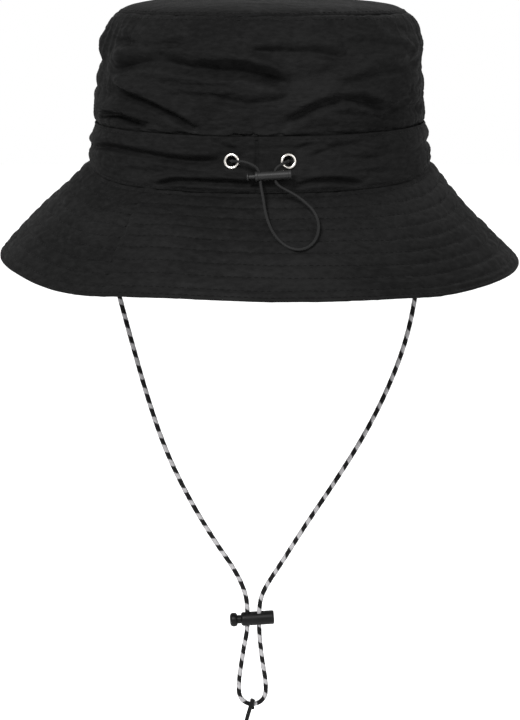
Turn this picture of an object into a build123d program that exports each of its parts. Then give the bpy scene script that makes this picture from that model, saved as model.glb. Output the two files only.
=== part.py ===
"""Bucket hat with an elastic drawcord at the back and a braided chin cord.

Millimetres. The origin is the centre of the head opening, +Z is up, +Y points to the
wearer's front and +X to the wearer's right. The hat is built as it is worn, so the chin
cord hangs below the head opening.
"""
from build123d import *
import math
import os

os.makedirs("parts", exist_ok=True)

# Head oval: every level of the hat is an ellipse, longer from front to back than across.
OVAL_STRETCH = 16.0            # how much longer the front-to-back half axis is
SEAM_HALF_WIDTH = 84.0         # outer half width at the seam between band and brim
CROWN_HEIGHT = 80.3            # top of the crown above the origin
BAND_TOP = 22.0                # seam between band and crown wall
TOP_SEAM = 75.0                # seam between crown wall and top panel

# Outer half width of the hat at each height.
OUTLINE = [
    (-6.0, 84.4), (BAND_TOP, 81.0), (45.0, 80.2), (62.0, 79.2), (70.0, 77.2),
    (TOP_SEAM, 73.8), (78.5, 67.5), (CROWN_HEIGHT, 57.0),
]

# The seam between band and brim is lower at front and back than at the sides.
SEAM_SIDE_Z = 3.0
SEAM_DROP = 6.0

# Brim, a cone that leaves the seam and ends at a level edge.
BRIM_EDGE_Z = -44.0
BRIM_EDGE_HALF_WIDTH = 129.3
BRIM_EDGE_HALF_LENGTH = 148.5
BRIM_TOP_HALF_LENGTH = 92.9    # half length of the same cone at the side seam's height

# Cloth layers, from the outside in: start and end depth below the outer surface.
CROWN_CLOTH = (0.0, 0.8)
CROWN_LINING = (0.9, 1.3)
BAND_CLOTH = (0.0, 0.7)
PATCH_CLOTH = (0.7, 1.0)
CHANNEL_BACKING = (2.8, 3.2)
SWEATBAND = (3.3, 3.9)
LABEL_CLOTH = (3.95, 4.2)
SWEATBAND_TOP = 27.0
BRIM_UPPER = (0.0, 0.9)        # measured straight down
BRIM_CORE = (0.9, 1.7)
BRIM_UNDER = (1.7, 2.6)
TOP_CLOTH = 1.0                # measured straight down

# Eyelets and drawcord.
EYELET_X = 12.6
EYELET_Z = 11.0
EYELET_FLANGE_R = 3.65
EYELET_BARREL_R = 2.45
EYELET_BORE_R = 2.15
DRAWCORD_D = 1.2
CHANNEL_DEPTH = 1.92           # centre of the drawcord below the outer surface

# Chin cord.
CHIN_CORD_D = 2.4
TAB_X = 80.8
TAB_BOTTOM_Z = -9.0

# Rear drawcord: a strand from each eyelet into the toggle, and the loop below it.
DRAWCORD_LEFT_ROUTE = [
    (-12.6, -97.2, 11.0), (-12.4, -99.6, 11.1), (-10.6, -101.8, 11.5),
    (-6.8, -103.2, 12.2), (-2.9, -104.0, 11.5), (-0.25, -104.0, 8.8), (0.0, -104.0, 4.9),
]
DRAWCORD_RIGHT_ROUTE = [
    (12.6, -97.2, 11.0), (12.6, -99.6, 11.1), (11.4, -101.8, 11.8),
    (8.6, -103.7, 11.3), (6.3, -104.0, 8.9), (6.5, -104.0, 5.3),
]
DRAWCORD_LOOP_ROUTE = [
    (0.0, -104.0, 4.9), (0.2, -104.0, 1.4), (1.3, -105.6, -3.6), (2.1, -110.2, -8.6),
    (3.3, -115.4, -13.2), (5.6, -120.6, -17.7), (9.6, -125.0, -21.5),
    (15.2, -127.2, -23.6), (21.0, -125.2, -22.5), (25.2, -120.2, -18.9),
    (26.6, -114.2, -14.1), (24.9, -109.2, -9.6), (21.0, -106.4, -6.4),
    (16.4, -104.9, -3.4), (12.0, -104.2, -1.2), (8.4, -104.0, 0.6), (6.65, -104.0, 2.9),
    (6.5, -104.0, 5.3),
]

# Chin cord, across and up; it hangs in the plane through both side tabs.
CHIN_LEFT_ROUTE = [
    (-80.8, -9.0), (-80.8, -20.0), (-77.0, -43.0), (-70.8, -69.0), (-64.5, -94.0),
    (-57.6, -120.0), (-49.4, -146.0), (-38.2, -171.0), (-24.6, -195.0),
    (-13.2, -212.0), (-8.2, -223.0), (-6.6, -231.0), (-6.6, -238.7),
]
CHIN_RIGHT_ROUTE = [
    (80.8, -9.0), (80.8, -20.0), (80.6, -44.0), (78.9, -68.0), (74.0, -92.0),
    (65.2, -116.0), (53.6, -140.0), (38.8, -164.5), (23.8, -187.5),
    (10.8, -209.0), (3.0, -221.0), (-0.5, -230.0), (-0.5, -238.7),
]
CHIN_LOOP_ROUTE = [
    (-6.6, -238.7), (-6.6, -245.0), (-8.4, -254.0), (-10.0, -264.5), (-11.2, -273.5),
    (-11.3, -281.6), (-8.5, -285.6), (-4.1, -287.1), (0.3, -285.6), (3.1, -281.6),
    (3.0, -273.5), (1.5, -264.5), (0.2, -254.0), (-0.5, -245.0), (-0.5, -238.7),
]

# Both toggles: a barrel with a blind bore along X, two cross holes for the cord, a plunger
# with a slot at each hole, and a spring behind it. Sizes are along X from the barrel's middle.
CHIN_TOGGLE = dict(
    centre=(-1.3, 0.0, -238.7), tilt=4.0, barrel_r=3.65, half_length=8.7, bore_r=2.55,
    end_wall=1.2, holes=(-5.3, 0.8), hole_r=1.7, rod_r=2.25, travel=1.6,
    button_r=3.65, button_length=3.9, neck=1.9, collar=0.0, wire=0.5, turns=3.5,
    shoulder=1.4, tail_round=0.9, button_rounds=(1.7, 1.4), flare=1.2,
)
REAR_TOGGLE = dict(
    centre=(5.85, -104.0, 5.3), tilt=3.5, barrel_r=2.05, half_length=8.05, bore_r=1.35,
    end_wall=1.4, holes=(-5.85, 0.65), hole_r=0.95, rod_r=1.1, travel=1.4,
    button_r=1.8, button_length=0.8, neck=2.9, collar=0.25, wire=0.3, turns=5,
    shoulder=0.4, tail_round=0.4, button_rounds=(0.3, 0.3), flare=0.45,
)

# Pull at the bottom of the chin cord's loop.
PULL_CENTRE = (-4.6, 0.0, -286.6)
PULL_RING_R = 2.5
PULL_WIRE_R = 0.95
PULL_TAIL_END = (-8.4, 0.0, -303.0)

# Blank care label, on the inside of the sweatband at the left of the back.
LABEL_X = (-44.0, -24.0)
LABEL_Z = (5.0, 20.0)


def half_width(z):
    """The hat's outer half width at a height, straight between the outline's levels."""
    for (z0, w0), (z1, w1) in zip(OUTLINE, OUTLINE[1:]):
        if z <= z1:
            return w0 + (w1 - w0) * (z - z0) / (z1 - z0)
    return OUTLINE[-1][1]


def oval(width, length, z):
    return Pos(0, 0, z) * make_face(Edge.make_ellipse(width, length))


def filled(bottom, top, depth, shift=0.0):
    """The hat's outline between two heights as a full body, inset by a depth."""
    levels = [bottom] + [z for z, _ in OUTLINE if bottom < z < top] + [top]
    faces = []
    for z in levels:
        width = half_width(z) - depth
        faces.append(oval(width, width + OVAL_STRETCH, z - shift))
    return loft(faces, ruled=True)


def wall(bottom, top, layer):
    """A layer of cloth between two heights; layer is its outer and inner depth."""
    return filled(bottom, top, layer[0]) - filled(bottom, top, layer[1])


def seam_body():
    """Everything below the curved seam between band and brim."""
    reach = SEAM_HALF_WIDTH + OVAL_STRETCH
    radius = (reach**2 + SEAM_DROP**2) / (2 * SEAM_DROP)
    return Pos(0, 0, SEAM_SIDE_Z - radius) * Rot(0, 90, 0) * Cylinder(radius, 400)


def brim_cone(shift):
    """The brim's outer cone as a full body, moved down by shift and carried up past the seam."""
    rise = SEAM_SIDE_Z - BRIM_EDGE_Z
    extra = 10.0
    share = extra / rise
    top_width = SEAM_HALF_WIDTH - share * (BRIM_EDGE_HALF_WIDTH - SEAM_HALF_WIDTH)
    top_length = BRIM_TOP_HALF_LENGTH - share * (BRIM_EDGE_HALF_LENGTH - BRIM_TOP_HALF_LENGTH)
    top = oval(top_width, top_length, SEAM_SIDE_Z + extra - shift)
    edge = oval(BRIM_EDGE_HALF_WIDTH, BRIM_EDGE_HALF_LENGTH, BRIM_EDGE_Z - shift)
    return loft([top, edge], ruled=True)


def brim_layer(layer):
    above_edge = Pos(0, 0, BRIM_EDGE_Z + 100) * Box(400, 400, 200)
    outer = brim_cone(layer[0]) & above_edge
    return (outer - brim_cone(layer[1])) & seam_body()


def band_layer(layer, top=BAND_TOP):
    return wall(OUTLINE[0][0], top, layer) - seam_body()


def surface_plane(x, z, depth=0.0):
    """A plane on the back of the hat, its normal pointing out of the cloth."""
    width = half_width(z)
    length = width + OVAL_STRETCH
    y = -length * math.sqrt(1 - (x / width) ** 2)
    lean = (half_width(z - 1) - half_width(z + 1)) / 2
    normal = Vector(x / width**2, y / length**2, 0).normalized() + Vector(0, 0, lean)
    normal = normal.normalized()
    return Plane(origin=Vector(x, y, z) - normal * depth, z_dir=normal)


def crown_half(sign):
    """The rear (-1) or front (+1) half of the crown wall, cut at the side seams."""
    half = Pos(0, sign * 150, 0) * Box(400, 300, 400)
    return wall(BAND_TOP, TOP_SEAM, CROWN_CLOTH) & half


def dished_top(bottom, thickness, drop, depth):
    full = filled(bottom, CROWN_HEIGHT, depth, drop)
    return full - filled(bottom, CROWN_HEIGHT, depth, drop + thickness)


def eyelet(side):
    plane = surface_plane(side * EYELET_X, EYELET_Z)
    flange = Pos(0, 0, 0.42) * Cylinder(EYELET_FLANGE_R, 0.8)
    flange = fillet(flange.edges().group_by(Axis.Z)[-1], 0.35)
    barrel = Pos(0, 0, -0.66) * Cylinder(EYELET_BARREL_R, 1.4)
    return plane * (flange + barrel - Cylinder(EYELET_BORE_R, 6))


def eyelet_hole(side, radius):
    return surface_plane(side * EYELET_X, EYELET_Z) * Cylinder(radius, 8)


def eyelet_washer(side):
    thickness = 0.15
    bow = 0.12                 # the flat washer lies behind cloth that curves
    depth = PATCH_CLOTH[1] + bow + thickness / 2
    plane = surface_plane(side * EYELET_X, EYELET_Z, depth)
    return plane * (Cylinder(EYELET_FLANGE_R, thickness) - Cylinder(EYELET_BARREL_R + 0.1, 1))


def with_eyelet_holes(body):
    for side in (-1, 1):
        body -= eyelet_hole(side, EYELET_BARREL_R + 0.1)
    return body


def eyelet_patch():
    window = Pos(0, -95, EYELET_Z) * Box(2 * EYELET_X + 14, 40, 12)
    return with_eyelet_holes(wall(4, 18, PATCH_CLOTH) & window)


def tube(name, route, diameter):
    """A cord's tube: straight runs joined by arcs as large as the two runs allow."""
    points = [Vector(*p) for p in route]
    radii = []
    for a, b, c in zip(points, points[1:], points[2:]):
        turn = math.radians((b - a).get_angle(c - b))
        radii.append(0.45 * min((b - a).length, (c - b).length) / math.tan(turn / 2))
    path = FilletPolyline(*points, radius=radii)
    section = Plane(origin=path @ 0, z_dir=path % 0) * Circle(diameter / 2)
    body = sweep(section, path=path)
    expected = math.pi * diameter**2 / 4 * path.length
    print(name, "length", round(path.length, 1), "volume ratio", round(body.volume / expected, 4))
    print("  radii", [round(r, 1) for r in radii])
    return body


def channel_run():
    """The drawcord inside its channel, from one eyelet round the front to the other."""
    width = half_width(EYELET_Z) - CHANNEL_DEPTH
    length = width + OVAL_STRETCH
    start = math.degrees(math.acos(EYELET_X / width))
    corners = 42
    route = []
    for i in range(corners + 1):
        angle = math.radians(-start + i * (180 + 2 * start) / corners)
        route.append((width * math.cos(angle), length * math.sin(angle), EYELET_Z))
    return tube("rear_drawcord_channel_run", route, DRAWCORD_D)


def place(toggle):
    return Pos(*toggle["centre"]) * Rot(0, -toggle["tilt"], 0)


def along_x(radius, start, end):
    return Pos((start + end) / 2, 0, 0) * Rot(0, 90, 0) * Cylinder(radius, end - start)


def rounded_bar(radius, start, end, start_round, end_round):
    """A bar along X with its two end edges rounded."""
    bar = along_x(radius, start, end)
    rims = bar.edges().filter_by(GeomType.CIRCLE).sort_by(Axis.X)
    bar = fillet(rims[-1], end_round)
    rims = bar.edges().filter_by(GeomType.CIRCLE).sort_by(Axis.X)
    return fillet(rims[0], start_round)


def toggle_barrel(t):
    half = t["half_length"]
    body = rounded_bar(t["barrel_r"], -half, half, t["shoulder"], t["tail_round"])
    if t["collar"]:
        for start in (-half, half - 1.3):
            ring = t["collar"]
            body += rounded_bar(t["barrel_r"] + ring, start, start + 1.3, ring, ring)
    body -= along_x(t["bore_r"], -half - 1, half - t["end_wall"])
    flare = Cone(t["hole_r"], t["hole_r"] + t["flare"], t["flare"])
    lift = t["barrel_r"] - t["flare"] / 4
    for x in t["holes"]:
        body -= Pos(x, 0, 0) * Cylinder(t["hole_r"], 4 * t["barrel_r"])
        body -= Pos(x, 0, lift) * flare
        body -= Pos(x, 0, -lift) * Rot(180, 0, 0) * flare
    return place(t) * body


def rod_end(t):
    """Where the plunger's rod stops: a web past its last slot."""
    return t["holes"][1] + t["hole_r"] + 0.6 * t["rod_r"]


def toggle_plunger(t):
    face = -t["half_length"] - t["neck"]
    button = rounded_bar(t["button_r"], face - t["button_length"], face, *t["button_rounds"])
    body = button + along_x(t["rod_r"], face, rod_end(t))
    for x in t["holes"]:
        slot = Box(2 * t["hole_r"] + t["travel"], 2 * t["hole_r"] - 0.3, 20)
        body -= Pos(x - t["travel"] / 2, 0, 0) * slot
    return place(t) * body


def toggle_spring(t):
    start = rod_end(t) + t["wire"] / 2 + 0.1
    length = t["half_length"] - t["end_wall"] - start - t["wire"] / 2 - 0.1
    radius = t["bore_r"] - t["wire"] / 2 - 0.15
    path = Helix(pitch=length / t["turns"], height=length, radius=radius)
    section = Plane(origin=path @ 0, z_dir=path % 0) * Circle(t["wire"] / 2)
    coil = sweep(section, path=path, is_frenet=True)
    return place(t) * Pos(start, 0, 0) * Rot(0, 90, 0) * coil


def chin_tab(side):
    height = SEAM_SIDE_Z - 0.1 - TAB_BOTTOM_Z
    tab = Box(1.0, 9.0, height)
    return Pos(side * TAB_X, 0, TAB_BOTTOM_Z + height / 2) * tab


def chin_tube(name, flat_route):
    return tube(name, [(x, 0.0, z) for x, z in flat_route], CHIN_CORD_D)


def draw_tube(name, route):
    return tube(name, route, DRAWCORD_D)


def chin_pull():
    """A ring round the bottom of the loop with a tail that hangs from it."""
    ring = Pos(*PULL_CENTRE) * Rot(0, 90, 0) * Torus(PULL_RING_R, PULL_WIRE_R)
    start = Vector(*PULL_CENTRE) + Vector(-0.4, 0, -PULL_RING_R)
    end = Vector(*PULL_TAIL_END)
    axis = Plane(origin=(start + end) * 0.5, z_dir=end - start)
    tail = axis * Cylinder(PULL_WIRE_R, (end - start).length)
    return ring + tail + Pos(*end) * Sphere(PULL_WIRE_R)


def care_label():
    width = LABEL_X[1] - LABEL_X[0]
    window = Pos(LABEL_X[0] + width / 2, -100, 0) * Box(width, 100, 100)
    return wall(*LABEL_Z, LABEL_CLOTH) & window


parts = {
    "crown_top_panel": dished_top(TOP_SEAM, TOP_CLOTH, 0.0, 0.0),
    "crown_wall_rear": crown_half(-1),
    "crown_wall_front": crown_half(1),
    "crown_lining_top": dished_top(TOP_SEAM, 0.5, 1.2, 1.0),
    "crown_lining_wall": wall(BAND_TOP, TOP_SEAM - 1.3, CROWN_LINING),
    "band_shell": with_eyelet_holes(band_layer(BAND_CLOTH)),
    "band_channel_backing": band_layer(CHANNEL_BACKING),
    "sweatband": band_layer(SWEATBAND, SWEATBAND_TOP),
    "care_label": care_label(),
    "eyelet_left": eyelet(-1),
    "eyelet_right": eyelet(1),
    "eyelet_washer_left": eyelet_washer(-1),
    "eyelet_washer_right": eyelet_washer(1),
    "eyelet_patch": eyelet_patch(),
    "brim_upper_cloth": brim_layer(BRIM_UPPER),
    "brim_interlining": brim_layer(BRIM_CORE),
    "brim_under_cloth": brim_layer(BRIM_UNDER),
    "chin_tab_left": chin_tab(-1),
    "chin_tab_right": chin_tab(1),
    "rear_drawcord_channel_run": channel_run(),
    "rear_drawcord_left_strand": draw_tube("rear_drawcord_left_strand", DRAWCORD_LEFT_ROUTE),
    "rear_drawcord_right_strand": draw_tube("rear_drawcord_right_strand", DRAWCORD_RIGHT_ROUTE),
    "rear_drawcord_loop": draw_tube("rear_drawcord_loop", DRAWCORD_LOOP_ROUTE),
    "rear_toggle_barrel": toggle_barrel(REAR_TOGGLE),
    "rear_toggle_plunger": toggle_plunger(REAR_TOGGLE),
    "rear_toggle_spring": toggle_spring(REAR_TOGGLE),
    "chin_cord_left_strand": chin_tube("chin_cord_left_strand", CHIN_LEFT_ROUTE),
    "chin_cord_right_strand": chin_tube("chin_cord_right_strand", CHIN_RIGHT_ROUTE),
    "chin_cord_loop": chin_tube("chin_cord_loop", CHIN_LOOP_ROUTE),
    "chin_toggle_barrel": toggle_barrel(CHIN_TOGGLE),
    "chin_toggle_plunger": toggle_plunger(CHIN_TOGGLE),
    "chin_toggle_spring": toggle_spring(CHIN_TOGGLE),
    "chin_cord_pull": chin_pull(),
}

for node, shape in parts.items():
    export_step(shape, f"parts/{node}.step")
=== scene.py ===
"""Bucket hat seen from behind: black crinkled nylon, elastic drawcord, braided chin cord.

Metres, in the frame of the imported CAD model: +Z up, +Y to the wearer's front, +X right.
Lengths in the geometry functions are millimetres and are scaled once, in new_mesh().
Angles run from +X round by the front, so the back of the hat is from pi to 2 pi.
"""
import math
from functools import partial

import bmesh
import bpy
import numpy as np
from numpy import clip, cos, exp, linspace, meshgrid, sin, stack
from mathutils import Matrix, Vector


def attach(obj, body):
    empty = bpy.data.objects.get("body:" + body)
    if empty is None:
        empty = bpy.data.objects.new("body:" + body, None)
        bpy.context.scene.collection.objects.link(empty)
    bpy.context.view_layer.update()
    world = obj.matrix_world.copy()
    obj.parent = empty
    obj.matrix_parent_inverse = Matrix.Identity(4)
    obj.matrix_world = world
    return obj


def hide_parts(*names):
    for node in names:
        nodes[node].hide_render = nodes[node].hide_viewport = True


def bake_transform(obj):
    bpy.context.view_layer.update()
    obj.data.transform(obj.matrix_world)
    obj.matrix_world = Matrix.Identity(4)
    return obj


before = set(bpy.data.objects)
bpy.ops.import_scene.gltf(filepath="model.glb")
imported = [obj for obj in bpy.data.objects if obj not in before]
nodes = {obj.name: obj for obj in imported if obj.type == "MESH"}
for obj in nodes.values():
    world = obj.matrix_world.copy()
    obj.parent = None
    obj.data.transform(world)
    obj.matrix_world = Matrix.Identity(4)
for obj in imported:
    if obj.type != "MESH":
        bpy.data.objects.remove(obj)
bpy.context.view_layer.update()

scene = bpy.context.scene
MM = 0.001
PI, TAU = math.pi, 2 * math.pi

# ---- the hat's sizes, in mm
CROWN_WIDTH, BAND_WIDTH, BAND_FLARE = 80.5, 80.7, 3.3
OVAL_STRETCH, OVAL_FROM = 16.0, 73.0
BAND_TOP = 22.0
TOP_SEAM = 75.0
SEAM_WIDTH, SEAM_LENGTH = 84.0, 100.0
EDGE_WIDTH, EDGE_LENGTH, EDGE_Z = 129.3, 148.0, -44.2
BRIM_SLANT = 64.0
ROW_GAP, FIRST_ROW, EDGE_ROW = 7.1, 1.8, 62.2
STITCH_ROWS = [FIRST_ROW + i * ROW_GAP for i in range(9)] + [EDGE_ROW]
EYELET_X, EYELET_Z = 12.6, 11.0
PATCH_HALF = 19.0
BAND_HEIGHT, SWEAT_HEIGHT, SWEAT_TOP = 25.4, 30.0, 27.0
BACK_SEAM_X = -1.3
CLOTH, LINING_CLOTH = 0.5, 0.25
AROUND_CROWN, AROUND_BRIM = 550.0, 730.0
BRIM_RADIUS = 110.0
THREAD_RADIUS, STITCH_PITCH, STITCH_LENGTH = 0.17, 2.9, 2.2
DRAWCORD_RADIUS, CHIN_CORD_RADIUS = 0.6, 1.17

# Side view of the crown, from the band to the middle of the top: half width, height.
CROWN_PROFILE = [
    (80.4, 18.0), (80.5, 24.0), (80.9, 30.0), (80.4, 45.0), (79.7, 58.0), (78.2, 66.0),
    (74.8, 73.0), (68.5, 77.3), (60.0, 79.3), (46.0, 80.6), (24.0, 81.6), (0.0, 81.8),
]


# ---- camera, light, floor
EYE, AIM, LENS = (0, -0.92, 0.092), (0, 0, -0.10), 92
LIGHTS = {  # place, power, size
    "key": ((-0.8, -1.9, 1.5), 126, 0.9),
    "fill": ((1.7, -1.5, 0.8), 22, 1.6),
    "rim": ((0.4, 1.7, 1.8), 16, 1.4),
}
FLOOR_Z, FLOOR_RADIUS = -0.9, 9.0


def show(name, data):
    """A new object in the scene for a mesh, a camera or a light."""
    obj = bpy.data.objects.new(name, data)
    scene.collection.objects.link(obj)
    return obj


def mesh_of(name, form):
    """A mesh from a bmesh, which is used up."""
    mesh = bpy.data.meshes.new(name)
    form.to_mesh(mesh)
    form.free()
    return mesh


def aim_at(obj, place, target):
    obj.location = place
    obj.rotation_euler = (Vector(target) - Vector(place)).to_track_quat("-Z", "Y").to_euler()


def camera():
    data = bpy.data.cameras.new("camera")
    data.lens = LENS
    eye = show("camera", data)
    aim_at(eye, EYE, AIM)
    scene.camera = eye


def studio():
    """White surroundings, three soft lights and a pale paper floor."""
    world = bpy.data.worlds.new("studio")
    scene.world = world
    world.use_nodes = True
    background = world.node_tree.nodes["Background"]
    background.inputs["Color"].default_value = (1, 1, 1, 1)
    background.inputs["Strength"].default_value = 1.0
    for name, (place, power, size) in LIGHTS.items():
        data = bpy.data.lights.new(name, "AREA")
        data.energy, data.shape, data.size = power, "DISK", size
        aim_at(show(name, data), place, (0, 0, 0))
    scene.view_settings.view_transform = "Standard"
    form = bmesh.new()
    bmesh.ops.create_circle(form, cap_ends=True, segments=64, radius=FLOOR_RADIUS)
    floor = show("floor", mesh_of("floor", form))
    floor.location = (0, 0, FLOOR_Z)
    paper = bpy.data.materials.new("floor_paper")
    paper.use_nodes = True
    shader = paper.node_tree.nodes["Principled BSDF"]
    shader.inputs["Base Color"].default_value = (0.93, 0.93, 0.93, 1)
    shader.inputs["Roughness"].default_value = 0.9
    shader.inputs["Emission Color"].default_value = (1, 1, 1, 1)
    shader.inputs["Emission Strength"].default_value = 0.25
    floor.data.materials.append(paper)


# ---- noise and curves
def smooth(t):
    return t * t * (3 - 2 * t)


def ramp(value, reach):
    """0 at and below zero, rising smoothly to 1 at reach."""
    return smooth(clip(value / reach, 0, 1))


def bell(distance, width):
    """1 at no distance, falling off over width on each side."""
    return exp(-((distance / width) ** 2))


def lattice(u, v, period, seed):
    """Value noise, 0 to 1. u and v are in cells, and u repeats after period cells."""
    table = np.random.default_rng(seed).random((period, 512))
    iu, iv = np.floor(u).astype(int), np.floor(v).astype(int)
    fu, fv = smooth(u - iu), smooth(v - iv)
    near, far = iu % period, (iu + 1) % period
    low, high = iv % 512, (iv + 1) % 512
    bottom = table[near, low] * (1 - fu) + table[far, low] * fu
    top = table[near, high] * (1 - fu) + table[far, high] * fu
    return bottom * (1 - fv) + top * fv


def noise(u, v, cell_u, cell_v, seed, octaves=2, around=AROUND_CROWN):
    """Noise from -1 to 1, over a band of cloth that is around mm long."""
    total, size = 0.0, 0.0
    for octave in range(octaves):
        period = max(2, round(around / cell_u * 2**octave))
        cells = u / around * period
        rows = v / cell_v * 2**octave + 97.3
        total = total + (2 * lattice(cells, rows, period, seed + octave) - 1) / 2**octave
        size += 1 / 2**octave
    return total / size


def crinkle(u, v, cell_u, cell_v, seed, around=AROUND_CROWN):
    """Sharp little creases that run round the hat: 1 on a crease line, 0 between them."""
    bent = v + 0.9 * cell_v * noise(u, v, cell_u * 2.3, cell_v * 2.0, seed + 50, 1, around)
    return (1 - np.abs(noise(u, bent, cell_u, cell_v, seed, 1, around))) ** 6


def smooth_curve(points, count):
    """Evenly spaced points on a Catmull-Rom curve through the given ones."""
    p = np.array(points, float)
    p = np.vstack([2 * p[0] - p[1], p, 2 * p[-1] - p[-2]])
    t = linspace(0, 1, 24, endpoint=False)[:, None]
    runs = []
    for a, b, c, d in zip(p, p[1:], p[2:], p[3:]):
        curve = 2 * b + (c - a) * t + (2 * a - 5 * b + 4 * c - d) * t**2
        runs.append((curve + (3 * b - a - 3 * c + d) * t**3) / 2)
    return spaced(np.vstack(runs + [p[-2:-1]]), count)


def distances(line):
    """How far along a polyline each of its points is."""
    return np.r_[0, np.cumsum(np.linalg.norm(np.diff(line, axis=0), axis=1))]


def spaced(line, count, carried=None):
    """A polyline's points, or values carried with them, at count even steps along it."""
    along = distances(line)
    at = linspace(0, along[-1], count)
    rows = line if carried is None else carried
    return stack([np.interp(at, along, column) for column in rows.T], 1)


def unit(v):
    return v / np.maximum(np.linalg.norm(v, axis=-1, keepdims=True), 1e-9)


# ---- meshes
def new_mesh(name, points, faces, weave=None, value=None):
    """A smooth-shaded piece from points in mm. weave is cloth coordinates for the material."""
    mesh = bpy.data.meshes.new(name)
    mesh.from_pydata((np.asarray(points) * MM).tolist(), [], faces)
    if weave is not None:
        layer = mesh.attributes.new("weave", "FLOAT_VECTOR", "POINT")
        layer.data.foreach_set("vector", (weave * MM).astype(np.float32).ravel())
    if value is not None:
        layer = mesh.attributes.new("white", "FLOAT", "POINT")
        layer.data.foreach_set("value", value.astype(np.float32).ravel())
    form = bmesh.new()
    form.from_mesh(mesh)
    bmesh.ops.recalc_face_normals(form, faces=form.faces)
    form.to_mesh(mesh)
    form.free()
    mesh.polygons.foreach_set("use_smooth", [True] * len(mesh.polygons))
    return show(name, mesh)


def grid_faces(rows, columns, wrap, start=0):
    """Quads of a grid whose points are stored row by row."""
    i, j = meshgrid(np.arange(rows - 1), np.arange(columns if wrap else columns - 1), indexing="ij")
    k = (j + 1) % columns
    corners = [i * columns + j, i * columns + k, (i + 1) * columns + k, (i + 1) * columns + j]
    return (stack([c.ravel() for c in corners], 1) + start).tolist()


def tube_faces(rows, columns):
    """Quads of a grid that is closed round, and a face over each end."""
    ends = [list(range(columns))[::-1], list(range((rows - 1) * columns, rows * columns))]
    return grid_faces(rows, columns, True) + ends


def grid_normals(grid, wrap):
    """Unit normals of a grid whose rows run down or outwards; they point out of the hat."""
    down = np.gradient(grid, axis=0)
    if wrap:
        across = np.roll(grid, -1, 1) - np.roll(grid, 1, 1)
    else:
        across = np.gradient(grid, axis=1)
    return unit(np.cross(down, across))


def cloth_sheet(name, outer, wrap, thickness, weave, normal=None, pole=False):
    """A closed sheet of cloth: an outer grid, an inner one, and the edges between them.

    With pole, the grid's first row is a small ring and both faces close over its middle.
    """
    normal = grid_normals(outer, wrap) if normal is None else normal
    rows, columns = outer.shape[:2]
    inner = outer - normal * thickness
    count = rows * columns
    faces = grid_faces(rows, columns, wrap)
    faces += [f[::-1] for f in grid_faces(rows, columns, wrap, count)]
    first = np.arange(columns)
    last = (rows - 1) * columns + first
    rims = [(last, wrap)] if pole else [(first, wrap), (last, wrap)]
    if not wrap:
        side = np.arange(rows) * columns
        rims += [(side, False), (side + columns - 1, False)]
    for rim, closed in rims:
        a, b = (rim, np.roll(rim, -1)) if closed else (rim[:-1], rim[1:])
        faces += stack([a, b, count + b, count + a], 1).tolist()
    points = np.vstack([outer.reshape(-1, 3), inner.reshape(-1, 3)])
    flat = weave.reshape(-1, 3)
    flat = np.vstack([flat, flat + (0, 0, 500)])
    if pole:
        for k, start in enumerate((0, count)):
            ring = start + first
            faces += stack([0 * ring + 2 * count + k, ring, np.roll(ring, -1)], 1).tolist()
            points = np.vstack([points, points[ring].mean(0)])
            flat = np.vstack([flat, flat[ring].mean(0)])
    return new_mesh(name, points, faces, flat)


def weave_of(theta, v, radius=88.0):
    """Cloth coordinates without a break: round the hat, and v mm down the cloth."""
    return stack([radius * cos(theta), radius * sin(theta), v + 0 * theta], -1)


def on_surface(base, lift, theta, v):
    """Points of a base surface moved along its normals by lift, and those normals."""
    aside, below = 1e-3, 0.02
    point = base(theta, v)
    across = base(theta + aside, v) - base(theta - aside, v)
    down = base(theta, v + below) - base(theta, v - below)
    normal = unit(np.cross(down, across))
    return point + normal * lift(theta, v)[..., None], normal


def sheet_on(name, base, lift, theta, v, thickness, wrap, height=1.0):
    """A cloth sheet over a grid of angles and distances down a base surface.

    height is the length in mm of one step of v, where v is a share of the piece's height.
    """
    t, d = meshgrid(theta, v)
    grid, _ = on_surface(base, lift, t, d)
    return cloth_sheet(name, grid, wrap, thickness, weave_of(t, d * height))


def disc_on(name, lift, columns, rows, thickness):
    """A cloth disc over the top of the crown."""
    t, out = meshgrid(turn(columns), linspace(0.6, TOP_SPAN, rows))
    grid, _ = on_surface(top_base, lift, t, out)
    weave = stack([grid[..., 0], 0 * t + 300, grid[..., 1]], -1)
    return cloth_sheet(name, grid, True, thickness, weave, pole=True)


def turn(columns):
    return linspace(0, TAU, columns, endpoint=False)


def tube(name, line, radius, sides, relief=None, colour=None):
    """A closed tube round a line of points; relief and colour take distance and angle."""
    tangent = unit(np.gradient(line, axis=0))
    side = np.zeros_like(line)
    side[0] = unit(np.cross(tangent[0], (0.31, 0.94, 0.12)))
    for i in range(1, len(line)):
        side[i] = side[i - 1] - tangent[i] * (side[i - 1] @ tangent[i])
        side[i] /= np.linalg.norm(side[i])
    other = np.cross(tangent, side)
    s, p = meshgrid(distances(line), turn(sides), indexing="ij")
    r = radius + (relief(s, p) if relief else 0 * s)
    rim = side[:, None] * cos(p)[..., None] + other[:, None] * sin(p)[..., None]
    points = (line[:, None] + rim * r[..., None]).reshape(-1, 3)
    white = colour(s, p) if colour else None
    return new_mesh(name, points, tube_faces(len(line), sides), value=white)


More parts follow.
